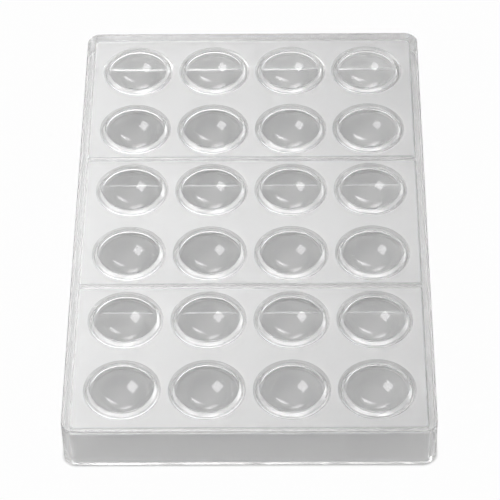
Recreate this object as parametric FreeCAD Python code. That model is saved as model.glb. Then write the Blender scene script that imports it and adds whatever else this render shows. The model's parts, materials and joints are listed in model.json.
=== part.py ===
import FreeCAD, Part
import math
import os

# Clear polycarbonate confectionery mould, one injection-moulded piece.
# Four columns and six rows of hemispherical cavities open in the flat fill face.
# Below that face each cavity is a thin dome, and a skirt all round carries the mould.
# Two cross ribs part the space under the plate into three bays of two rows each.
# Frame: millimetres, +Z up, X across, Y along, origin at the centre of the foot plane.

# Cavity grid. The land is the flat margin from a cavity's rim to the mould's outline.
# Pitches, cavity size and land together give the 175 by 275 mm frame of such moulds.
columns = 4
rows = 6
column_pitch = 40.0
row_pitch = 44.0
cavity_radius = 15.0
land = 12.5

# Each dome is concentric with its cavity, so its wall is the same all over.
dome_wall = 2.0

# Plate and skirt. The skirt leans outwards towards its foot by the draft angles.
height = 24.0
plate_thickness = 3.5
skirt_thickness = 3.8
outer_draft = 0.25
inner_draft = 0.75
corner_radius = 6.8
pan_corner_radius = 2.6
pan_ceiling_radius = 0.8
top_edge_radius = 0.6
foot_edge_radius = 0.4

# Cross ribs between the bays. Their free edge stays clear of the surface below.
rows_per_bay = 2
rib_thickness = 2.3
rib_clearance = 3.5
rib_root_radius = 0.6
rib_edge_radius = 0.5

# Outline of the fill face and height of the plate's underside, from the sizes above.
top_length = (rows - 1) * row_pitch + 2 * (cavity_radius + land)
top_width = (columns - 1) * column_pitch + 2 * (cavity_radius + land)
ceiling = height - plate_thickness
axis_up = FreeCAD.Vector(0, 0, 1)


def rounded_outline(corners):
    """Closed wire through the corners, given as (point, radius), each rounded by an arc.

    The arc touches both sides at radius over the tangent of half the corner's angle
    from the corner. Its middle lies on the bisector, radius over the sine of half the
    angle, less the radius, from the corner. A side that the arcs use up is left out.
    """
    marks = []
    for index, (corner, radius) in enumerate(corners):
        back = (corners[index - 1][0] - corner).normalize()
        ahead = (corners[(index + 1) % len(corners)][0] - corner).normalize()
        if radius == 0:
            marks.append([corner])
            continue
        half = back.getAngle(ahead) / 2
        touch = radius / math.tan(half)
        rise = radius / math.sin(half) - radius
        bisector = (back + ahead).normalize()
        marks.append([corner + back * touch, corner + bisector * rise,
                      corner + ahead * touch])
    sides = []
    for index, mark in enumerate(marks):
        following = marks[(index + 1) % len(marks)][0]
        if len(mark) == 3:
            sides.append(Part.Arc(*mark).toShape())
        if mark[-1].distanceToPoint(following) > 1e-6:
            sides.append(Part.LineSegment(mark[-1], following).toShape())
    return Part.Wire(sides)


def rounded_rectangle(half_x, half_y, radius, z):
    """Level wire of four straight sides and four quarter arcs about the Z axis."""
    return rounded_outline([(FreeCAD.Vector(x * half_x, y * half_y, z), radius)
                            for x, y in ((1, -1), (1, 1), (-1, 1), (-1, -1))])


def drafted_prism(half_x, half_y, radius, z_wide, z_narrow, draft):
    """Prism whose sides lean in by the draft angle from z_wide to z_narrow.

    The sizes hold at z_narrow. At z_wide every side stands further out by the lean,
    and so does the corner radius, so that each corner is part of one cone.
    """
    lean = abs(z_wide - z_narrow) * math.tan(math.radians(draft))
    wide = rounded_rectangle(half_x + lean, half_y + lean, radius + lean, z_wide)
    narrow = rounded_rectangle(half_x, half_y, radius, z_narrow)
    return Part.makeLoft([wide, narrow], True, True)


def level_edges(shape, z):
    """Edges of the shape that lie wholly in the plane at height z."""
    return [edge for edge in shape.Edges
            if all(abs(vertex.Z - z) < 1e-6 for vertex in edge.Vertexes)
            and abs(edge.CenterOfMass.z - z) < 1e-6]


def outer_block():
    """Outside of the mould: drafted block with rounded corners and softened edges."""
    block = drafted_prism(top_width / 2, top_length / 2, corner_radius, 0.0, height,
                          outer_draft)
    block = block.makeFillet(top_edge_radius, level_edges(block, height))
    return block.makeFillet(foot_edge_radius, level_edges(block, 0.0))


def pan():
    """Hollow under the plate, drafted, with the radius where the skirt meets it."""
    hollow = drafted_prism(top_width / 2 - skirt_thickness,
                           top_length / 2 - skirt_thickness,
                           pan_corner_radius, 0.0, ceiling, inner_draft)
    return hollow.makeFillet(pan_ceiling_radius, level_edges(hollow, ceiling))


def rib(y):
    """Cross rib at y, running from inside the left skirt to inside the right one.

    Its sides lean in towards the free edge. The root radius turns from the ceiling
    into each side, and the outline above it ends inside the plate.
    """
    lean = math.radians(inner_draft)
    half_root = rib_thickness / 2
    half_foot = half_root - (ceiling - rib_clearance) * math.tan(lean)
    half_plate = half_root + rib_root_radius * math.tan(math.pi / 4 - lean / 2)
    inside = height - plate_thickness / 2
    half = [
        (half_plate, inside, 0),
        (half_plate, ceiling, 0),
        (half_root, ceiling, rib_root_radius),
        (half_foot, rib_clearance, rib_edge_radius),
    ]
    start = -top_width / 2 + skirt_thickness / 2
    corners = [(FreeCAD.Vector(start, y + side, z), radius) for side, z, radius in half]
    corners += [(FreeCAD.Vector(start, y - side, z), radius)
                for side, z, radius in reversed(half)]
    return Part.Face(rounded_outline(corners)).extrude(FreeCAD.Vector(-2 * start, 0, 0))


def ribs():
    """One rib midway between the last row of each bay and the first of the next."""
    bay_count = rows // rows_per_bay
    bay_pitch = rows_per_bay * row_pitch
    return [rib((index - bay_count / 2) * bay_pitch) for index in range(1, bay_count)]


def bowl(radius, lid):
    """Lower part of a sphere centred on the fill face, cut off level at the lid."""
    latitude = math.degrees(math.asin((lid - height) / radius))
    return Part.makeSphere(radius, FreeCAD.Vector(0, 0, height), axis_up, -90, latitude)


def dome():
    """Outside of one dome, standing down out of the plate from half its thickness."""
    return bowl(cavity_radius + dome_wall, height - plate_thickness / 2)


def cavity():
    """Space of one cavity, a half sphere carried on a dome wall's height above it."""
    return bowl(cavity_radius, height + dome_wall)


def over_grid(shape):
    """One copy of the shape at each place of the cavity grid, centred on the mould."""
    copies = []
    for column in range(columns):
        for row in range(rows):
            x = (column - (columns - 1) / 2) * column_pitch
            y = (row - (rows - 1) / 2) * row_pitch
            copies.append(shape.translated(FreeCAD.Vector(x, y, 0)))
    return copies


def mould():
    """The whole mould: the block hollowed, ribbed and domed, then the cavities sunk."""
    body = outer_block().cut(pan())
    body = body.fuse(ribs() + over_grid(dome()))
    return body.cut(over_grid(cavity())).removeSplitter().Solids[0]


os.makedirs("parts", exist_ok=True)
solid = mould()
solid.exportStep("parts/mould.step")
print("mould valid", solid.isValid(), "faces", len(solid.Faces))
print("volume mm3", round(solid.Volume, 1))
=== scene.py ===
"""Looks of a clear confectionery mould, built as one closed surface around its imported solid.

The mould is one injection-moulded piece of polycarbonate: a flat fill face with a grid of
half-round cavities, a thin dome under each cavity, a skirt all round and cross ribs below.
The surface here follows the solid and adds the small radii at the cavities' rims, at the
domes' roots and at the skirt's inner foot, because light bends at them. All lengths are in
metres unless they are named otherwise.
"""

import json
import logging
import math
from dataclasses import dataclass, field
from enum import Enum

import bpy
import numpy as np
from mathutils import Matrix, Vector

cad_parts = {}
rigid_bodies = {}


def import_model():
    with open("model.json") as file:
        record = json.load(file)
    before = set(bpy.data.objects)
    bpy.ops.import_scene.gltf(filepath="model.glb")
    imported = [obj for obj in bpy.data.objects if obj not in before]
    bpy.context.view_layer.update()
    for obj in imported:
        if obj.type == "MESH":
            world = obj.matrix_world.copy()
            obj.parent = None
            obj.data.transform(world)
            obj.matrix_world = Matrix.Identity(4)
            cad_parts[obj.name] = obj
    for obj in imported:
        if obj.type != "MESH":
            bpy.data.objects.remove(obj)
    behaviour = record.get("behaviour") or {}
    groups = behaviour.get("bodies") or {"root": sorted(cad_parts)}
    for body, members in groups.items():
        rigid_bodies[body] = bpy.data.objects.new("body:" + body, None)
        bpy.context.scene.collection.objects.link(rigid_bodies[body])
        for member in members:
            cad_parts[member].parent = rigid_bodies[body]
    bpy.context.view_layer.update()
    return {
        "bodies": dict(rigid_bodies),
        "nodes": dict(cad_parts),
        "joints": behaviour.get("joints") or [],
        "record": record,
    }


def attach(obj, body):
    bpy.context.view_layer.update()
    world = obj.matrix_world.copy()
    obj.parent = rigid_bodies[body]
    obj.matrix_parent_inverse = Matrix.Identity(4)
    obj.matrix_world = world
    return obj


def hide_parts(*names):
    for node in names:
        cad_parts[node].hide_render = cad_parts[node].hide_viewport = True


LOG = logging.getLogger("mould")
MM = 0.001

# Points closer than a tenth of a micrometre are one point.
WELD_STEP = 0.1 * MM * MM

# Light goes to and fro in the clear walls many times before it leaves them.
BOUNCES_IN_PLASTIC = 24
BOUNCES_IN_ALL = 32


class Surface(Enum):
    """The ways in which the mould's surface was made or worn, with their material index."""

    POLISHED = 0
    STONED = 1
    SATIN = 2
    TURNED = 3


@dataclass(frozen=True)
class MouldSizes:
    """Driving sizes of the mould, the same as the solid's.

    The radii of the rims, of the domes' roots and of the skirt's inner foot edge are the
    only ones that the solid hasn't. The land is the flat margin from a cavity's rim to
    the mould's outline, and the foot stands further out by the lean of the outer draft.
    """

    columns: int = 4
    rows: int = 6
    column_pitch: float = 40.0 * MM
    row_pitch: float = 44.0 * MM
    cavity_radius: float = 15.0 * MM
    rim_radius: float = 0.4 * MM
    land: float = 12.5 * MM
    dome_wall: float = 2.0 * MM
    dome_root_radius: float = 2.4 * MM
    height: float = 24.0 * MM
    plate_thickness: float = 3.5 * MM
    skirt_thickness: float = 3.8 * MM
    outer_draft: float = math.radians(0.25)
    inner_draft: float = math.radians(0.75)
    corner_radius: float = 6.8 * MM
    pan_corner_radius: float = 2.6 * MM
    pan_ceiling_radius: float = 0.8 * MM
    top_edge_radius: float = 0.6 * MM
    foot_edge_radius: float = 0.4 * MM
    inner_foot_radius: float = 0.25 * MM
    rows_per_bay: int = 2
    rib_thickness: float = 2.3 * MM
    rib_clearance: float = 3.5 * MM
    rib_edge_radius: float = 0.5 * MM

    @property
    def half_width(self) -> float:
        """Half the fill face's width: the grid, one cavity radius and the land."""
        return (self.columns - 1) * self.column_pitch / 2 + self.cavity_radius + self.land

    @property
    def half_length(self) -> float:
        """Half the fill face's length, worked out as the width is."""
        return (self.rows - 1) * self.row_pitch / 2 + self.cavity_radius + self.land

    @property
    def ceiling(self) -> float:
        """Height of the plate's underside."""
        return self.height - self.plate_thickness

    @property
    def column_centres(self) -> np.ndarray:
        """X of the columns of cavities."""
        return (np.arange(self.columns) - (self.columns - 1) / 2) * self.column_pitch

    @property
    def row_centres(self) -> np.ndarray:
        """Y of the rows of cavities."""
        return (np.arange(self.rows) - (self.rows - 1) / 2) * self.row_pitch

    @property
    def rib_centres(self) -> np.ndarray:
        """Y of the ribs, midway between one bay's last row and the next bay's first."""
        bays = self.rows // self.rows_per_bay
        return (np.arange(1, bays) - bays / 2) * self.rows_per_bay * self.row_pitch


def linear(code: str) -> tuple[float, float, float, float]:
    """Linear colour of an sRGB hex code, with full alpha.

    Each channel under 0.04045 is divided by 12.92, and the rest follow the sRGB curve,
    ((c + 0.055) / 1.055) to the power of 2.4.

    Args:
        code: Six hex digits, with or without a leading hash.

    Returns:
        Red, green, blue and alpha.
    """
    digits = code.lstrip("#")
    channels = np.array([int(digits[at:at + 2], 16) for at in (0, 2, 4)]) / 255
    curve = np.where(channels <= 0.04045, channels / 12.92,
                     ((channels + 0.055) / 1.055) ** 2.4)
    return (*curve.tolist(), 1.0)


def add_node(tree: bpy.types.NodeTree, kind: str, settings: dict[str, object] | None = None,
             inputs: dict[str | int, object] | None = None) -> bpy.types.Node:
    """Adds a node to a tree.

    Args:
        tree: The tree.
        kind: Blender's name of the node's type.
        settings: Values of the node's own properties.
        inputs: For an input's name or number, the output linked to it or its value.

    Returns:
        The node.
    """
    made = tree.nodes.new(kind)
    for name, value in (settings or {}).items():
        setattr(made, name, value)
    for name, value in (inputs or {}).items():
        if isinstance(value, bpy.types.NodeSocket):
            tree.links.new(value, made.inputs[name])
        else:
            made.inputs[name].default_value = value
    return made


def empty_material(name: str) -> bpy.types.Material:
    """A material with nodes in use and none in it.

    Args:
        name: Name of the material.

    Returns:
        The material.
    """
    material = bpy.data.materials.new(name)
    material.use_nodes = True
    material.node_tree.nodes.clear()
    return material


@dataclass(frozen=True)
class Polycarbonate:
    """Clear polycarbonate, as the mould's steel and its use left it.

    The clear share is what the surface mirrors and lets through, and the rest is the
    pale haze of a scattering surface. The roughness blurs what is seen through it. The
    grain is a relief of noise, whose spacing and height are real lengths.
    """

    name: str
    tint: str
    roughness: float
    clear_share: float
    grain_spacing: float
    grain_height: float
    index: float = 1.585

    def material(self) -> bpy.types.Material:
        """Builds the finish.

        Returns:
            The material.
        """
        made = empty_material(self.name)
        tree = made.node_tree
        place = add_node(tree, "ShaderNodeTexCoord")
        grain = self.grain(tree, place.outputs["Object"])
        relief = add_node(tree, "ShaderNodeBump", None,
                          {"Height": grain.outputs["Fac"], "Strength": 1.0,
                           "Distance": self.grain_height})
        plastic = add_node(tree, "ShaderNodeBsdfPrincipled", None,
                           {"Base Color": linear(self.tint), "Roughness": self.roughness,
                            "IOR": self.index, "Transmission Weight": self.clear_share,
                            "Normal": relief.outputs["Normal"]})
        add_node(tree, "ShaderNodeOutputMaterial", None, {"Surface": plastic.outputs[0]})
        return made

    def grain(self, tree: bpy.types.NodeTree, place: bpy.types.NodeSocket) -> bpy.types.Node:
        """Even grain in all directions, its spacing that of the coarsest waves.

        Args:
            tree: Tree that the nodes are added to.
            place: Place on the mould.

        Returns:
            The node that gives the relief's height.
        """
        return add_node(tree, "ShaderNodeTexNoise", {"noise_dimensions": "3D"},
                        {"Vector": place, "Scale": 1 / self.grain_spacing, "Detail": 2.0})


@dataclass(frozen=True)
class TurnedPolycarbonate(Polycarbonate):
    """Clear polycarbonate moulded on a half-round core that was turned and polished.

    The cutter's last rings are left faintly round each cavity's axis. Its grain spacing
    is the mean distance between them, along the sphere.
    """

    sizes: MouldSizes = MouldSizes()

    def grain(self, tree: bpy.types.NodeTree, place: bpy.types.NodeSocket) -> bpy.types.Node:
        """Uneven rings round each cavity's axis.

        The place is taken into one cell of the grid, as seen from the sphere's centre.
        The cell is a metre high, so that heights stay as they are.
        The angle between its direction and straight down, times the radius, is the way
        along the sphere from its pole, and the relief's height depends on that alone.

        Args:
            tree: Tree that the nodes are added to.
            place: Place on the mould.

        Returns:
            The node that gives the relief's height.
        """
        s = self.sizes
        cell = add_node(tree, "ShaderNodeVectorMath", {"operation": "WRAP"},
                        {0: place, 1: (s.column_pitch, s.row_pitch, 1.0),
                         2: (0.0, 0.0, 0.0)})
        seen = add_node(tree, "ShaderNodeVectorMath", {"operation": "SUBTRACT"},
                        {0: cell.outputs["Vector"],
                         1: (s.column_pitch / 2, s.row_pitch / 2, s.height)})
        across = add_node(tree, "ShaderNodeVectorMath", {"operation": "MULTIPLY"},
                          {0: seen.outputs["Vector"], 1: (1.0, 1.0, 0.0)})
        out = add_node(tree, "ShaderNodeVectorMath", {"operation": "LENGTH"},
                       {0: across.outputs["Vector"]})
        down = add_node(tree, "ShaderNodeVectorMath", {"operation": "DOT_PRODUCT"},
                        {0: seen.outputs["Vector"], 1: (0.0, 0.0, -1.0)})
        angle = add_node(tree, "ShaderNodeMath", {"operation": "ARCTAN2"},
                         {0: out.outputs["Value"], 1: down.outputs["Value"]})
        way = add_node(tree, "ShaderNodeMath", {"operation": "MULTIPLY"},
                       {0: angle.outputs[0], 1: s.cavity_radius / self.grain_spacing})
        return add_node(tree, "ShaderNodeTexNoise", {"noise_dimensions": "1D"},
                        {"W": way.outputs[0], "Scale": 1.0, "Detail": 1.0})


# Polycarbonate without a dye takes a little of the light, and no colour more than another.
CLEAR = "#FBFBFB"

FINISHES: dict[Surface, Polycarbonate] = {
    # Mirror-polished steel gives sharp reflections and a clear view through the wall. The
    # grain is the long, low waves that are left where the plastic shrank.
    Surface.POLISHED: Polycarbonate("polished_polycarbonate", CLEAR, 0.01, 1.0,
                                    9.0 * MM, 0.001 * MM),
    # Steel rubbed with a fine stone gives a thin haze, and what lies below is seen softly.
    # The grain is the unevenness that rubbing by hand leaves.
    Surface.STONED: Polycarbonate("stoned_polycarbonate", CLEAR, 0.14, 0.78,
                                  4.0 * MM, 0.006 * MM),
    # Blasted steel gives a milky surface that hides the table and glows evenly. Its real
    # grain, about 0.05 mm, is drawn coarser, because that would be too fine to show.
    Surface.SATIN: Polycarbonate("satin_polycarbonate", CLEAR, 0.42, 0.3,
                                 0.9 * MM, 0.02 * MM),
    # A turned and polished core gives clear cavities with faint rings. The cutter's real
    # feed, about 0.1 mm, is drawn coarser, because that would be too fine to show.
    Surface.TURNED: TurnedPolycarbonate("turned_polycarbonate", CLEAR, 0.02, 1.0,
                                        1.3 * MM, 0.003 * MM),
}


@dataclass
class Patch:
    """A piece of surface: points, one normal for each point, and triangles of indices."""

    points: np.ndarray
    normals: np.ndarray
    triangles: np.ndarray
    surface: Surface = Surface.POLISHED


def grid_patch(points: np.ndarray, normals: np.ndarray, closed: bool,
               surface: Surface = Surface.POLISHED) -> Patch:
    """Patch of a grid of points, two triangles to a cell.

    Args:
        points: Array of rows by stations by three.
        normals: Array of the same shape.
        closed: Whether the last station joins the first.
        surface: How the patch was finished.

    Returns:
        The patch.
    """
    rows, stations = points.shape[:2]
    row = np.arange(rows - 1)[:, None]
    here = np.arange(stations if closed else stations - 1)[None, :]
    ahead = (here + 1) % stations
    a = row * stations + here
    b = row * stations + ahead
    c = a + stations
    d = b + stations
    triangles = np.concatenate([np.stack([a, b, d], -1).reshape(-1, 3),
                                np.stack([a, d, c], -1).reshape(-1, 3)])
    return Patch(points.reshape(-1, 3), normals.reshape(-1, 3), triangles, surface)


def flat_band(inner: np.ndarray, outer: np.ndarray, centre: np.ndarray, height: float,
              upward: float, surface: Surface) -> Patch:
    """Level band between two closed loops that both turn once round the centre.

    Each side of a loop is joined to the point of the other loop that is nearest to it in
    angle about the centre, so the loops may have different numbers of points.

    Args:
        inner: Points of the inner loop in plan, turning anticlockwise.
        outer: Points of the outer loop in plan, turning anticlockwise.
        centre: Point in plan that both loops go round.
        height: Level of the band.
        upward: 1 for a face that looks up and -1 for one that looks down.
        surface: How the band was finished.

    Returns:
        The band.
    """
    inner, inner_angle = sorted_by_angle(inner, centre)
    outer, outer_angle = sorted_by_angle(outer, centre)
    inner_next = np.roll(inner_angle, -1)
    inner_next[-1] += 2 * np.pi
    outer_next = np.roll(outer_angle, -1)
    outer_next[-1] += 2 * np.pi
    inner_middle = (inner_angle + inner_next) / 2
    outer_middle = (outer_angle + outer_next) / 2
    count_in, count_out = len(inner), len(outer)
    side = np.arange(count_in)
    apex = np.searchsorted(outer_middle, inner_middle) % count_out
    first = np.stack([side, (side + 1) % count_in, count_in + apex], -1)
    side = np.arange(count_out)
    apex = np.searchsorted(inner_middle, outer_middle, side="right") % count_in
    second = np.stack([count_in + side, count_in + (side + 1) % count_out, apex], -1)
    plan = np.concatenate([inner, outer])
    points = np.column_stack([plan, np.full(len(plan), height)])
    normals = np.tile([0.0, 0.0, upward], (len(plan), 1))
    return Patch(points, normals, np.concatenate([first, second]), surface)


def sorted_by_angle(loop: np.ndarray, centre: np.ndarray) -> tuple[np.ndarray, np.ndarray]:
    """Puts a loop's points in order of their angle about a centre.

    Args:
        loop: Points in plan.
        centre: The centre in plan.

    Returns:
        The points and their angles.
    """
    angle = np.arctan2(loop[:, 1] - centre[1], loop[:, 0] - centre[0])
    order = np.argsort(angle, kind="stable")
    return loop[order], angle[order]


@dataclass
class Outline:
    """Stations along a plan outline, each an arc centre, its radius and its direction.

    A station's point lies from its arc centre by the radius, more by any offset, along
    its direction, so one outline serves every depth of a drafted wall.
    """

    centres: np.ndarray
    radii: np.ndarray
    directions: np.ndarray

    def at(self, offset: np.ndarray | float) -> np.ndarray:
        """Points in plan, moved outwards by the offset."""
        return self.centres + (self.radii + offset)[..., None] * self.directions

    def part(self, stations: np.ndarray) -> "Outline":
        """The outline at some of its stations only."""
        return Outline(self.centres[stations], self.radii[stations],
                       self.directions[stations])


def rounded_rectangle(x_low: float, x_high: float, y_low: float, y_high: float,
                      corner_radii: tuple[float, float, float, float],
                      steps: int) -> Outline:
    """Outline of a rectangle with round corners, turning anticlockwise.

    Each corner is a quarter circle of equal steps, and starts at the front right. A
    straight side is what joins the end of one corner to the start of the next.

    Args:
        x_low: Left side.
        x_high: Right side.
        y_low: Front side.
        y_high: Back side.
        corner_radii: Radii at the front right, back right, back left and front left.
        steps: Steps in each quarter circle.

    Returns:
        The outline.
    """
    radii = np.array(corner_radii)
    corner = np.array([[x_high, y_low], [x_high, y_high], [x_low, y_high], [x_low, y_low]])
    outward = np.array([[1, -1], [1, 1], [-1, 1], [-1, -1]])
    centres = corner - outward * radii[:, None]
    turn = np.linspace(0, np.pi / 2, steps + 1)
    angle = (np.arange(4)[:, None] - 1) * np.pi / 2 + turn[None, :]
    directions = np.stack([np.cos(angle), np.sin(angle)], -1).reshape(-1, 2)
    return Outline(np.repeat(centres, steps + 1, axis=0), np.repeat(radii, steps + 1),
                   directions)


def swept(outline: Outline, offsets: np.ndarray, heights: np.ndarray, outward: np.ndarray,
          upward: np.ndarray, surface: Surface = Surface.POLISHED) -> Patch:
    """Profile carried round a closed outline.

    Each row of the grid is the outline moved outwards and set at a height. The normal
    is the outline's direction and the vertical, in the shares given.

    Args:
        outline: The plan outline.
        offsets: Offset of each row, or of each row at each station.
        heights: Height of each row, or of each row at each station.
        outward: Share of the outline's direction in the normal, row by row.
        upward: Share of the vertical in the normal, row by row.
        surface: How the surface was finished.

    Returns:
        The swept surface.
    """
    stations = len(outline.radii)
    rows = len(offsets)
    offsets = np.broadcast_to(np.reshape(offsets, (rows, -1)), (rows, stations))
    heights = np.broadcast_to(np.reshape(heights, (rows, -1)), (rows, stations))
    plan = outline.at(offsets)
    points = np.concatenate([plan, heights[..., None]], -1)
    across = outward[:, None, None] * outline.directions[None, :, :]
    normals = np.concatenate([across, np.broadcast_to(upward[:, None, None],
                                                      (rows, stations, 1))], -1)
    return grid_patch(points, normals, True, surface)


@dataclass(frozen=True)
class Bowl:
    """Half-round surface about the fill face, flared by a small bend into a level plane.

    The bend is a circle outside the sphere, tangent to it and to the plane. Its centre
    lies below the plane by the bend's radius, and as far from the sphere's centre as
    both radii together.
    """

    radius: float
    bend: float
    level: float
    sphere_height: float
    hollow: bool
    surface: Surface = Surface.POLISHED
    bend_surface: Surface = Surface.POLISHED
    around: int = 64
    rings: int = 17
    bend_steps: int = 4

    @property
    def drop(self) -> float:
        """Depth of the bend's centre below the sphere's centre."""
        return self.sphere_height - self.level + self.bend

    @property
    def edge(self) -> float:
        """Radius of the circle where the bend meets the level plane."""
        return math.sqrt((self.radius + self.bend) ** 2 - self.drop ** 2)

    @property
    def angles(self) -> np.ndarray:
        """Angles of the stations round the axis."""
        return np.arange(self.around) * (2 * np.pi / self.around)

    def edge_loop(self, x: float, y: float) -> np.ndarray:
        """Plan points of the circle where the bend meets the plane, about x and y."""
        return np.column_stack([x + self.edge * np.cos(self.angles),
                                y + self.edge * np.sin(self.angles)])

    def patches(self, x: float, y: float) -> list[Patch]:
        """The bend and the sphere below it, about the axis at x and y.

        Down the bend, a point is the bend's centre and the bend's radius along a
        direction that turns from straight up towards the sphere's centre. Down the
        sphere it is the sphere's centre and its radius along a direction that turns
        towards straight down. A hollow's normals point to the sphere's centre.

        Args:
            x: X of the axis.
            y: Y of the axis.

        Returns:
            The two surfaces.
        """
        turn = math.atan2(self.edge, self.drop)
        bend = np.linspace(0, turn, self.bend_steps + 1)
        down = turn * np.linspace(1, 0, self.rings + 1)[1:]
        side = 1.0 if self.hollow else -1.0
        rho = np.concatenate([self.edge - self.bend * np.sin(bend),
                              self.radius * np.sin(down)])
        height = np.concatenate([self.sphere_height - self.drop + self.bend * np.cos(bend),
                                 self.sphere_height - self.radius * np.cos(down)])
        normal_rho = side * np.concatenate([-np.sin(bend), -np.sin(down)])
        normal_up = side * np.concatenate([np.cos(bend), np.cos(down)])
        circle = np.column_stack([np.cos(self.angles), np.sin(self.angles)])
        plan = rho[:, None, None] * circle[None] + np.array([x, y])
        shape = (len(rho), self.around, 1)
        points = np.concatenate([plan, np.broadcast_to(height[:, None, None], shape)], -1)
        normals = np.concatenate([normal_rho[:, None, None] * circle[None],
                                  np.broadcast_to(normal_up[:, None, None], shape)], -1)
        seam = self.bend_steps
        return [grid_patch(points[:seam + 1], normals[:seam + 1], True, self.bend_surface),
                grid_patch(points[seam:], normals[seam:], True, self.surface)]


@dataclass
class PlateFace:
    """A level face of the plate, pierced by the circles of a block of bowls."""

    bowl: Bowl
    columns: np.ndarray
    rows: np.ndarray
    outline: np.ndarray
    upward: float
    surface: Surface

    def dividers(self, centres: np.ndarray, low: float, high: float) -> np.ndarray:
        """Lines between the bowls, and one outside each end, midway to the outline.

        Args:
            centres: Places of the bowls along one axis.
            low: Where the outline starts on that axis.
            high: Where it ends.

        Returns:
            Places of the lines, one more than there are bowls.
        """
        between = (centres[:-1] + centres[1:]) / 2
        first = (centres[0] - self.bowl.edge + low) / 2
        last = (centres[-1] + self.bowl.edge + high) / 2
        return np.concatenate([[first], between, [last]])

    def patches(self) -> list[Patch]:
        """One cell about each bowl, and the band from the block of cells to the outline.

        Returns:
            The cells and the band.
        """
        low, high = self.outline.min(0), self.outline.max(0)
        x_lines = self.dividers(self.columns, low[0], high[0])
        y_lines = self.dividers(self.rows, low[1], high[1])
        made = []
        for i, x in enumerate(self.columns):
            for j, y in enumerate(self.rows):
                frame = np.array([[x_lines[i], y_lines[j]], [x_lines[i + 1], y_lines[j]],
                                  [x_lines[i + 1], y_lines[j + 1]],
                                  [x_lines[i], y_lines[j + 1]]])
                made.append(flat_band(self.bowl.edge_loop(x, y), frame, np.array([x, y]),
                                      self.bowl.level, self.upward, self.surface))
        block = np.concatenate([
            np.column_stack([x_lines[:-1], np.full(len(x_lines) - 1, y_lines[0])]),
            np.column_stack([np.full(len(y_lines) - 1, x_lines[-1]), y_lines[:-1]]),
            np.column_stack([x_lines[:0:-1], np.full(len(x_lines) - 1, y_lines[-1])]),
            np.column_stack([np.full(len(y_lines) - 1, x_lines[0]), y_lines[:0:-1]])])
        made.append(flat_band(block, self.outline, (low + high) / 2, self.bowl.level,
                              self.upward, self.surface))
        return made


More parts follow.
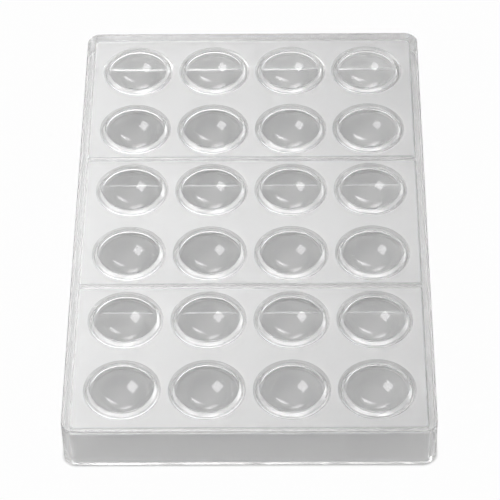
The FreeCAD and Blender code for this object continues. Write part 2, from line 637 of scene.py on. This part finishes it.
@dataclass
class Bay:
    """One of the spaces under the plate: two rows of domes between ribs or skirt."""

    sizes: MouldSizes
    y_low: float
    y_high: float
    rows: np.ndarray
    rib_in_front: bool
    rib_behind: bool
    corner_steps: int = 10
    bend_steps: int = 5
    edge_steps: int = 4

    @property
    def outline(self) -> Outline:
        """The bay's outline at the plate's underside.

        Its corners are those of the pan at the skirt, and nearly sharp at a rib.

        Returns:
            The outline, turning from the front right.
        """
        s = self.sizes
        side = s.half_width - s.skirt_thickness
        at_rib = s.pan_ceiling_radius
        front = at_rib if self.rib_in_front else s.pan_corner_radius
        back = at_rib if self.rib_behind else s.pan_corner_radius
        return rounded_rectangle(-side, side, self.y_low, self.y_high,
                                 (front, back, back, front), self.corner_steps)

    @property
    def corner_numbers(self) -> np.ndarray:
        """Number of the corner that each station belongs to."""
        return np.repeat(np.arange(4), self.corner_steps + 1)

    def lean(self, height: np.ndarray | float) -> np.ndarray | float:
        """How far the drafted wall has moved outwards at a height."""
        return (self.sizes.ceiling - height) * math.tan(self.sizes.inner_draft)

    def rib_share(self) -> np.ndarray:
        """How far each station is turned from the skirt's side to a rib's side.

        It is the square of the direction's share along the length, at corners that
        have a rib, and zero at the others. It rises from 0 on the skirt to 1 on the rib.

        Returns:
            The share at each station.
        """
        corner = self.corner_numbers
        has_rib = np.array([self.rib_in_front, self.rib_behind,
                            self.rib_behind, self.rib_in_front])[corner]
        return np.where(has_rib, self.outline.directions[:, 1] ** 2, 0.0)

    def ceiling_offset(self) -> float:
        """Offset of the outline at which the bend round the ceiling turns level."""
        s = self.sizes
        return s.pan_ceiling_radius * (math.tan(s.inner_draft) - 1 / math.cos(s.inner_draft))

    def wall(self) -> Patch:
        """Wall from the ceiling's bend down to the level of the ribs' free edges.

        The bend is a hollow quarter circle between the level ceiling and the drafted
        wall. At the ribs the wall ends in a round edge, whose radius fades to nothing
        round the corners, so that every station reaches the same level.

        Returns:
            The wall, from the ceiling down.
        """
        s = self.sizes
        draft = s.inner_draft
        r = s.pan_ceiling_radius
        outline = self.outline
        stations = len(outline.radii)
        turn = np.linspace(0, np.pi / 2 - draft, self.bend_steps + 1)
        bend_offset = self.ceiling_offset() + r * np.sin(turn)
        bend_height = s.ceiling - r + r * np.cos(turn)
        edge = s.rib_edge_radius * self.rib_share()
        round_over = np.linspace(draft, np.pi / 2, self.edge_steps + 1)
        centre_height = s.rib_clearance + edge
        centre_offset = self.lean(centre_height) + edge / math.cos(draft)
        edge_offset = centre_offset - np.cos(round_over)[:, None] * edge
        edge_height = centre_height - np.sin(round_over)[:, None] * edge
        spread = np.ones((1, stations))
        offsets = np.concatenate([bend_offset[:, None] * spread, edge_offset])
        heights = np.concatenate([bend_height[:, None] * spread, edge_height])
        outward = -np.concatenate([np.sin(turn), np.cos(round_over)])
        upward = -np.concatenate([np.cos(turn), np.sin(round_over)])
        return swept(outline, offsets, heights, outward, upward)

    def ceiling(self) -> list[Patch]:
        """The plate's satin underside in this bay, and the domes that hang from it.

        The steel round each dome was rubbed with a stone, and the bend at its mouth was
        polished, so that the dome slips out of it.

        Returns:
            The underside's cells and band, and each dome's bend and sphere.
        """
        s = self.sizes
        dome = Bowl(s.cavity_radius + s.dome_wall, s.dome_root_radius, s.ceiling, s.height,
                    False, Surface.STONED, Surface.POLISHED)
        face = PlateFace(dome, s.column_centres, self.rows,
                         self.outline.at(self.ceiling_offset()), -1.0, Surface.SATIN)
        domes = [patch for x in s.column_centres for y in self.rows
                 for patch in dome.patches(x, y)]
        return face.patches() + domes

    def foot_stations(self, corners: tuple[int, int]) -> tuple[np.ndarray, np.ndarray]:
        """Stations of two corners, and the offsets at which their round edges end.

        Args:
            corners: Numbers of the two corners at one rib.

        Returns:
            The stations and an offset for each.
        """
        stations = np.flatnonzero(np.isin(self.corner_numbers, corners))
        edge = self.sizes.rib_edge_radius * self.rib_share()[stations]
        ends = (self.lean(self.sizes.rib_clearance + edge)
                + edge / math.cos(self.sizes.inner_draft))
        return stations, ends

    def skirt_stations(self) -> np.ndarray:
        """Stations that lie on the skirt at the level of the ribs' free edges."""
        return np.flatnonzero(np.isclose(self.rib_share(), 0.0, atol=1e-9))


@dataclass
class Mould:
    """The whole mould as one closed surface."""

    sizes: MouldSizes = field(default_factory=MouldSizes)
    node: str = "mould"
    slot: str = "clear_polycarbonate"
    corner_steps: int = 14
    bend_steps: int = 5

    def bays(self) -> list[Bay]:
        """The bays from front to back, each bounded by ribs or by the skirt.

        Returns:
            The bays.
        """
        s = self.sizes
        end = s.half_length - s.skirt_thickness
        half_rib = s.rib_thickness / 2
        lows = np.concatenate([[-end], s.rib_centres + half_rib])
        highs = np.concatenate([s.rib_centres - half_rib, [end]])
        groups = s.row_centres.reshape(-1, s.rows_per_bay)
        last = len(groups) - 1
        return [Bay(s, low, high, group, number > 0, number < last)
                for number, (low, high, group) in enumerate(zip(lows, highs, groups))]

    def outline(self) -> Outline:
        """Outline of the fill face, before its top edge is rounded."""
        s = self.sizes
        return rounded_rectangle(-s.half_width, s.half_width, -s.half_length,
                                 s.half_length, (s.corner_radius,) * 4, self.corner_steps)

    def outer_profile(self) -> tuple[np.ndarray, np.ndarray, np.ndarray, np.ndarray]:
        """Offsets, heights and normals down the outside, from the fill face to the foot.

        Both bends are quarter circles, less the draft, that touch the leaning wall. The
        centre of each lies inside the wall by its radius.

        Returns:
            Offsets, heights, and the shares of outwards and of upwards in the normals.
        """
        s = self.sizes
        lean = math.tan(s.outer_draft)
        slope = 1 / math.cos(s.outer_draft)
        wall = np.pi / 2 - s.outer_draft
        top = np.linspace(0, wall, self.bend_steps + 1)
        foot = np.linspace(wall, np.pi, self.bend_steps + 1)
        top_radius, foot_radius = s.top_edge_radius, s.foot_edge_radius
        top_centre = top_radius * (lean - slope)
        foot_centre = (s.height - foot_radius) * lean - foot_radius * slope
        offsets = np.concatenate([top_centre + top_radius * np.sin(top),
                                  foot_centre + foot_radius * np.sin(foot)])
        heights = np.concatenate([s.height - top_radius + top_radius * np.cos(top),
                                  foot_radius + foot_radius * np.cos(foot)])
        angles = np.concatenate([top, foot])
        return offsets, heights, np.sin(angles), np.cos(angles)

    def fill_face(self) -> list[Patch]:
        """The flat face that is filled and scraped, and the cavities sunk in it.

        Returns:
            The face's cells and band, and each cavity's rim and sphere.
        """
        s = self.sizes
        cavity = Bowl(s.cavity_radius, s.rim_radius, s.height, s.height, True,
                      Surface.TURNED)
        offsets = self.outer_profile()[0]
        face = PlateFace(cavity, s.column_centres, s.row_centres,
                         self.outline().at(offsets[0]), 1.0, Surface.POLISHED)
        bowls = [patch for x in s.column_centres for y in s.row_centres
                 for patch in cavity.patches(x, y)]
        return face.patches() + bowls

    def lower_pan(self, bays: list[Bay]) -> tuple[Patch, np.ndarray]:
        """Skirt's inside below the ribs' free edges, and the loop where it turns level.

        Its outline joins the bays' stations that lie on the skirt, up the right side
        from front to back and down the left side from back to front.

        Args:
            bays: The bays from front to back.

        Returns:
            The skirt's inside, and the loop in plan.
        """
        s = self.sizes
        draft = s.inner_draft
        right: list[Outline] = []
        left: list[Outline] = []
        for bay in bays:
            stations = bay.skirt_stations()
            on_right = bay.corner_numbers[stations] < 2
            right.append(bay.outline.part(stations[on_right]))
            left.insert(0, bay.outline.part(stations[~on_right]))
        parts = right + left
        outline = Outline(np.concatenate([p.centres for p in parts]),
                          np.concatenate([p.radii for p in parts]),
                          np.concatenate([p.directions for p in parts]))
        r = s.inner_foot_radius
        turn = np.linspace(draft, np.pi / 2, self.bend_steps + 1)
        centre = bays[0].lean(r) + r / math.cos(draft)
        offsets = np.concatenate([[bays[0].lean(s.rib_clearance)],
                                  centre - r * np.cos(turn)])
        heights = np.concatenate([[s.rib_clearance], r - r * np.sin(turn)])
        outward = -np.concatenate([[math.cos(draft)], np.cos(turn)])
        upward = -np.concatenate([[math.sin(draft)], np.sin(turn)])
        pan = swept(outline, offsets, heights, outward, upward)
        return pan, outline.at(offsets[-1])

    def rib_feet(self, bays: list[Bay]) -> list[Patch]:
        """Level free edges of the ribs, ruled between the round edges of two bays.

        Args:
            bays: The bays from front to back.

        Returns:
            One level strip for each rib.
        """
        made = []
        for front, back in zip(bays[:-1], bays[1:]):
            near, near_ends = front.foot_stations((1, 2))
            far, far_ends = back.foot_stations((0, 3))
            near_plan = front.outline.part(near).at(near_ends)
            far_plan = back.outline.part(far).at(far_ends)
            near_plan = near_plan[np.argsort(-near_plan[:, 0], kind="stable")]
            far_plan = far_plan[np.argsort(-far_plan[:, 0], kind="stable")]
            plan = np.stack([near_plan, far_plan])
            height = np.full(plan.shape[:2] + (1,), self.sizes.rib_clearance)
            normals = np.broadcast_to([0.0, 0.0, -1.0], plan.shape[:2] + (3,))
            made.append(grid_patch(np.concatenate([plan, height], -1), normals, False))
        return made

    def outside(self) -> tuple[list[Patch], np.ndarray]:
        """Outside of the skirt, and the loop where it turns level at the foot.

        The foot's edge is dulled by the tables that the mould has slid over.

        Returns:
            The wall and the foot's edge, and the loop in plan.
        """
        profile = self.outer_profile()
        seam = self.bend_steps + 1
        wall = swept(self.outline(), *(values[:seam + 1] for values in profile))
        edge = swept(self.outline(), *(values[seam:] for values in profile), Surface.SATIN)
        return [wall, edge], self.outline().at(profile[0][-1])

    def patches(self) -> list[Patch]:
        """Every patch of the mould, which together close it.

        The band on which the mould stands is dulled by tables, though less than its edge.

        Returns:
            The patches.
        """
        bays = self.bays()
        made = self.fill_face()
        skirt, outer_loop = self.outside()
        made += skirt
        for bay in bays:
            made.append(bay.wall())
            made += bay.ceiling()
        pan, inner_loop = self.lower_pan(bays)
        made.append(pan)
        made += self.rib_feet(bays)
        made.append(flat_band(inner_loop, outer_loop, np.zeros(2), 0.0, -1.0, Surface.STONED))
        return made

    def build(self) -> bpy.types.Object:
        """Makes the piece, hides the node that it replaces and gives it its finishes.

        Returns:
            The mould's object.
        """
        piece = welded_object("mould_shell", self.patches())
        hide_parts(self.node)
        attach(piece, "root")
        for surface in Surface:
            piece.data.materials.append(FINISHES[surface].material())
        return piece


def welded_object(name: str, patches: list[Patch]) -> bpy.types.Object:
    """One object of all patches, their common points made one.

    Points that agree to the weld's step become one, and triangles that this makes lines
    are left out. A triangle is turned round if its own normal opposes the mean of its
    corners' normals. Each corner keeps the normal of its patch, so sharp edges stay sharp
    and bends are smooth.

    Args:
        name: Name of the object.
        patches: The patches.

    Returns:
        The object, at the origin.
    """
    counts = np.cumsum([0] + [len(p.points) for p in patches[:-1]])
    points = np.concatenate([p.points for p in patches])
    normals = np.concatenate([p.normals for p in patches])
    normals /= np.linalg.norm(normals, axis=1, keepdims=True)
    corners = np.concatenate([p.triangles + start for p, start in zip(patches, counts)])
    finish = np.concatenate([np.full(len(p.triangles), p.surface.value) for p in patches])
    _, first, welded = np.unique(np.round(points / WELD_STEP).astype(np.int64), axis=0,
                                 return_index=True, return_inverse=True)
    welded = welded.reshape(-1)
    joined = welded[corners]
    whole = ((joined[:, 0] != joined[:, 1]) & (joined[:, 1] != joined[:, 2])
             & (joined[:, 2] != joined[:, 0]))
    corners, joined, finish = corners[whole], joined[whole], finish[whole]
    place = points[first]
    a, b, c = place[joined[:, 0]], place[joined[:, 1]], place[joined[:, 2]]
    facing = np.einsum("ij,ij->i", np.cross(b - a, c - a), normals[corners].sum(1)) < 0
    joined[facing] = joined[facing][:, ::-1]
    corners[facing] = corners[facing][:, ::-1]
    mesh = bpy.data.meshes.new(name)
    mesh.vertices.add(len(place))
    mesh.vertices.foreach_set("co", place.astype(np.float32).ravel())
    mesh.loops.add(joined.size)
    mesh.loops.foreach_set("vertex_index", joined.astype(np.int32).ravel())
    mesh.polygons.add(len(joined))
    mesh.polygons.foreach_set("loop_start", np.arange(0, joined.size, 3, dtype=np.int32))
    mesh.polygons.foreach_set("material_index", finish.astype(np.int32))
    mesh.update(calc_edges=True)
    mesh.polygons.foreach_set("use_smooth", np.ones(len(joined), dtype=bool))
    mesh.normals_split_custom_set(normals[corners.ravel()])
    mesh.update()
    return linked_object(name, mesh)


def linked_object(name: str, data: bpy.types.ID) -> bpy.types.Object:
    """Object that shows the data, at the origin of the scene.

    Args:
        name: Name of the object.
        data: Its mesh, lamp or camera.

    Returns:
        The object.
    """
    made = bpy.data.objects.new(name, data)
    bpy.context.scene.collection.objects.link(made)
    return made


@dataclass(frozen=True)
class SoftLight:
    """Soft light, placed from the fill face's centre.

    A light that hangs level shines straight down. One that is aimed faces the fill
    face's centre and is turned about that line. One that fades is brightest in its
    middle and has no hard edge, as a sheet of cloth with a lamp behind it has none.
    """

    name: str
    place: tuple[float, float, float]
    sides: tuple[float, float]
    radiance: float
    shape: str = "ELLIPSE"
    aimed: bool = False
    turn: float = 0.0
    fades: bool = False

    def build(self, centre: Vector) -> bpy.types.Object:
        """Hangs the light.

        A flat light of area a and radiance r gives a power of r times pi times a. An
        ellipse fills pi over four of the rectangle round it.

        Args:
            centre: Centre of the fill face.

        Returns:
            The light.
        """
        data = bpy.data.lights.new(self.name, "AREA")
        data.shape = self.shape
        data.size, data.size_y = self.sides
        area = self.sides[0] * self.sides[1] * (math.pi / 4 if self.shape == "ELLIPSE" else 1)
        data.energy = self.radiance * math.pi * area
        if self.fades:
            self.fade(data)
        lamp = linked_object(self.name, data)
        offset = Vector(self.place)
        facing = Matrix.Identity(4)
        if self.aimed:
            facing = (-offset).to_track_quat("-Z", "Y").to_matrix().to_4x4()
        lamp.matrix_world = (Matrix.Translation(centre + offset) @ facing
                             @ Matrix.Rotation(self.turn, 4, "Z"))
        return lamp

    def fade(self, data: bpy.types.AreaLight) -> None:
        """Lets the light fall off to its edge.

        The strength is 1 less the square of the distance from the light's middle, which
        is 1 at its edge.

        Args:
            data: The light, whose own coordinates run from 0 to 1 across it.
        """
        data.use_nodes = True
        tree = data.node_tree
        tree.nodes.clear()
        across = add_node(tree, "ShaderNodeNewGeometry")
        middle = add_node(tree, "ShaderNodeVectorMath", {"operation": "MULTIPLY_ADD"},
                          {0: across.outputs["Parametric"], 1: (2.0, 2.0, 0.0),
                           2: (-1.0, -1.0, 0.0)})
        square = add_node(tree, "ShaderNodeVectorMath", {"operation": "DOT_PRODUCT"},
                          {0: middle.outputs["Vector"], 1: middle.outputs["Vector"]})
        left = add_node(tree, "ShaderNodeMath",
                        {"operation": "SUBTRACT", "use_clamp": True},
                        {0: 1.0, 1: square.outputs["Value"]})
        glow = add_node(tree, "ShaderNodeEmission", None, {"Strength": left.outputs[0]})
        add_node(tree, "ShaderNodeOutputLight", None, {"Surface": glow.outputs[0]})


# Each light shows in every cavity on the side opposite to it: the softbox as a square, and
# the other two as arcs.
SOFT_LIGHTS = (
    SoftLight("front_softbox", (-0.503, -0.518, 0.457), (0.458, 0.458), 3.5, "RECTANGLE",
              True, math.radians(-9.5)),
    SoftLight("back_window", (-0.42, 1.04, 1.1), (1.3, 1.06), 3.8, fades=True),
    SoftLight("side_strip", (0.54, 0.17, 0.6), (0.98, 0.19), 5.6, fades=True),
)


@dataclass(frozen=True)
class Camera:
    """Camera where the photograph was taken from.

    It looks from its place at the point where the picture's centre meets the fill face,
    and is turned a little about its own axis. The lens and the sensor are in millimetres.
    """

    place: tuple[float, float, float] = (0.018297, -0.918097, 0.971644)
    aim: tuple[float, float, float] = (-0.0003, -0.02165, 0.024)
    roll: float = math.radians(-1.111)
    lens: float = 190.84
    sensor: float = 36.0
    nearest: float = 0.05
    furthest: float = 20.0

    def build(self) -> bpy.types.Object:
        """Sets the camera up and makes it the scene's.

        Returns:
            The camera.
        """
        data = bpy.data.cameras.new("camera")
        data.lens = self.lens
        data.sensor_width = self.sensor
        data.clip_start = self.nearest
        data.clip_end = self.furthest
        camera = linked_object("camera", data)
        place = Vector(self.place)
        facing = (Vector(self.aim) - place).to_track_quat("-Z", "Y").to_matrix().to_4x4()
        camera.matrix_world = (Matrix.Translation(place) @ facing
                               @ Matrix.Rotation(self.roll, 4, "Z"))
        bpy.context.scene.camera = camera
        return camera


@dataclass(frozen=True)
class Studio:
    """White table, soft surroundings, the soft lights over them, and the camera.

    The shares of white are how much of a plain white the camera sees of the table, and
    how much of it the plastic mirrors and shows. The contact reach is how far the shade
    painted on the table round the foot spreads. The table lies a little below the foot, so
    that no two faces share a place.
    """

    floor_size: float = 8.0
    floor_level: float = -0.2 * MM
    floor_colour: str = "#C8C8C8"
    white_share_seen: float = 0.97
    painted_shade_reach: float = 1.2 * MM
    white_share_through: float = 0.04
    surroundings: str = "#FFFFFF"
    horizon_strength: float = 0.05
    overhead_strength: float = 1.05
    lights: tuple[SoftLight, ...] = SOFT_LIGHTS
    camera: Camera = Camera()

    def build(self, centre: Vector) -> None:
        """Sets the studio up round the mould.

        Args:
            centre: Centre of the fill face.
        """
        self.floor()
        self.world()
        for light in self.lights:
            light.build(centre)
        self.camera.build()

    def floor(self) -> bpy.types.Object:
        """White table top, which is seen as white, keeps a share of the shadow, and has shade
        painted round the foot.

        Returns:
            The table top.
        """
        half = self.floor_size / 2
        corners = np.array([[-1, -1], [1, -1], [1, 1], [-1, 1]]) * half
        mesh = bpy.data.meshes.new("table_top")
        mesh.from_pydata(np.column_stack([corners, np.full(4, self.floor_level)]).tolist(),
                         [], [(0, 1, 2, 3)])
        top = linked_object("table_top", mesh)
        mesh.materials.append(self.floor_material())
        return top

    def floor_material(self) -> bpy.types.Material:
        """Matt white laminate, which the photograph's exposure turned to plain white.

        It is a dull white that takes the light and shadow. To the camera it is mostly
        a plain white of strength 1. Close to the foot that white gives way to painted shade
        of contact: its share is multiplied by the square of the share of directions that
        meet nothing within the contact reach, an occlusion test and not the lamps' shadow.
        The plastic mirrors and shows a small share of the white too, so it isn't darker than
        the table it lies on.

        Returns:
            The material.
        """
        made = empty_material("white_laminate")
        tree = made.node_tree
        path = add_node(tree, "ShaderNodeLightPath")
        # Painted contact shade: an occlusion test near the foot, not the lamps, darkens the
        # table's white as the camera sees it.
        contact = add_node(tree, "ShaderNodeAmbientOcclusion", {"samples": 8},
                           {"Distance": self.painted_shade_reach})
        open_share = add_node(tree, "ShaderNodeMath", {"operation": "POWER"},
                              {0: contact.outputs["AO"], 1: 2.0})
        white_share = add_node(tree, "ShaderNodeMath", {"operation": "MULTIPLY"},
                               {0: open_share.outputs[0], 1: self.white_share_seen})
        seen = add_node(tree, "ShaderNodeMath", {"operation": "MULTIPLY"},
                        {0: path.outputs["Is Camera Ray"], 1: white_share.outputs[0]})
        bent = self.bent_rays(tree, path)
        through = add_node(tree, "ShaderNodeMath", {"operation": "MULTIPLY_ADD"},
                           {0: bent.outputs[0], 1: self.white_share_through,
                            2: seen.outputs[0]})
        lit = add_node(tree, "ShaderNodeBsdfDiffuse", None,
                       {"Color": linear(self.floor_colour)})
        white = add_node(tree, "ShaderNodeEmission")
        both = add_node(tree, "ShaderNodeMixShader", None,
                        {"Fac": through.outputs[0], 1: lit.outputs[0],
                         2: white.outputs[0]})
        add_node(tree, "ShaderNodeOutputMaterial", None, {"Surface": both.outputs[0]})
        return made

    def bent_rays(self, tree: bpy.types.NodeTree, path: bpy.types.Node) -> bpy.types.Node:
        """Marks the rays that the plastic has mirrored or bent on their way.

        Args:
            tree: Tree that the node is added to.
            path: The tree's Light Path node.

        Returns:
            A node that gives 1 for a glossy or a transmission ray and 0 for others.
        """
        return add_node(tree, "ShaderNodeMath", {"operation": "MAXIMUM"},
                        {0: path.outputs["Is Glossy Ray"],
                         1: path.outputs["Is Transmission Ray"]})

    def world(self) -> None:
        """Soft surroundings that light the object, plain white to the camera.

        A room is dim at the horizon and brightest overhead. The strength grows from that
        of the horizon to that overhead by the square of the direction's share upwards.
        The plastic mirrors and shows the same small share of white as of the table's.
        """
        made = bpy.data.worlds.new("soft_surroundings")
        made.use_nodes = True
        tree = made.node_tree
        tree.nodes.clear()
        path = add_node(tree, "ShaderNodeLightPath")
        where = add_node(tree, "ShaderNodeTexCoord")
        upward = add_node(tree, "ShaderNodeVectorMath", {"operation": "MULTIPLY"},
                          {0: where.outputs["Generated"], 1: (0.0, 0.0, 1.0)})
        square = add_node(tree, "ShaderNodeVectorMath", {"operation": "DOT_PRODUCT"},
                          {0: upward.outputs["Vector"], 1: upward.outputs["Vector"]})
        strength = add_node(tree, "ShaderNodeMath", {"operation": "MULTIPLY_ADD"},
                            {0: square.outputs["Value"],
                             1: self.overhead_strength - self.horizon_strength,
                             2: self.horizon_strength})
        soft = add_node(tree, "ShaderNodeBackground", None,
                        {"Color": linear(self.surroundings),
                         "Strength": strength.outputs[0]})
        white = add_node(tree, "ShaderNodeBackground", None,
                         {"Color": (1.0, 1.0, 1.0, 1.0)})
        bent = self.bent_rays(tree, path)
        share = add_node(tree, "ShaderNodeMath", {"operation": "MULTIPLY_ADD"},
                         {0: bent.outputs[0], 1: self.white_share_through,
                          2: path.outputs["Is Camera Ray"]})
        both = add_node(tree, "ShaderNodeMixShader", None,
                        {"Fac": share.outputs[0], 1: soft.outputs[0],
                         2: white.outputs[0]})
        add_node(tree, "ShaderNodeOutputWorld", None, {"Surface": both.outputs[0]})
        bpy.context.scene.world = made


def main() -> None:
    """Builds the mould and the studio in order, and reports each piece."""
    logging.basicConfig(level=logging.INFO, format="%(name)s: %(message)s")
    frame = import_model()
    scene = bpy.context.scene
    scene.view_settings.view_transform = "Standard"
    scene.cycles.transmission_bounces = BOUNCES_IN_PLASTIC
    scene.cycles.glossy_bounces = BOUNCES_IN_PLASTIC
    scene.cycles.transparent_max_bounces = BOUNCES_IN_PLASTIC
    scene.cycles.max_bounces = BOUNCES_IN_ALL
    scene.cycles.blur_glossy = 0.0
    mould = Mould()
    piece = mould.build()
    LOG.info("%s: %d triangles for node %s, one of %d in the frame", piece.name,
             len(piece.data.polygons), mould.node, len(frame["nodes"]))
    Studio().build(Vector((0.0, 0.0, mould.sizes.height)))


if __name__ == "__main__":
    main()
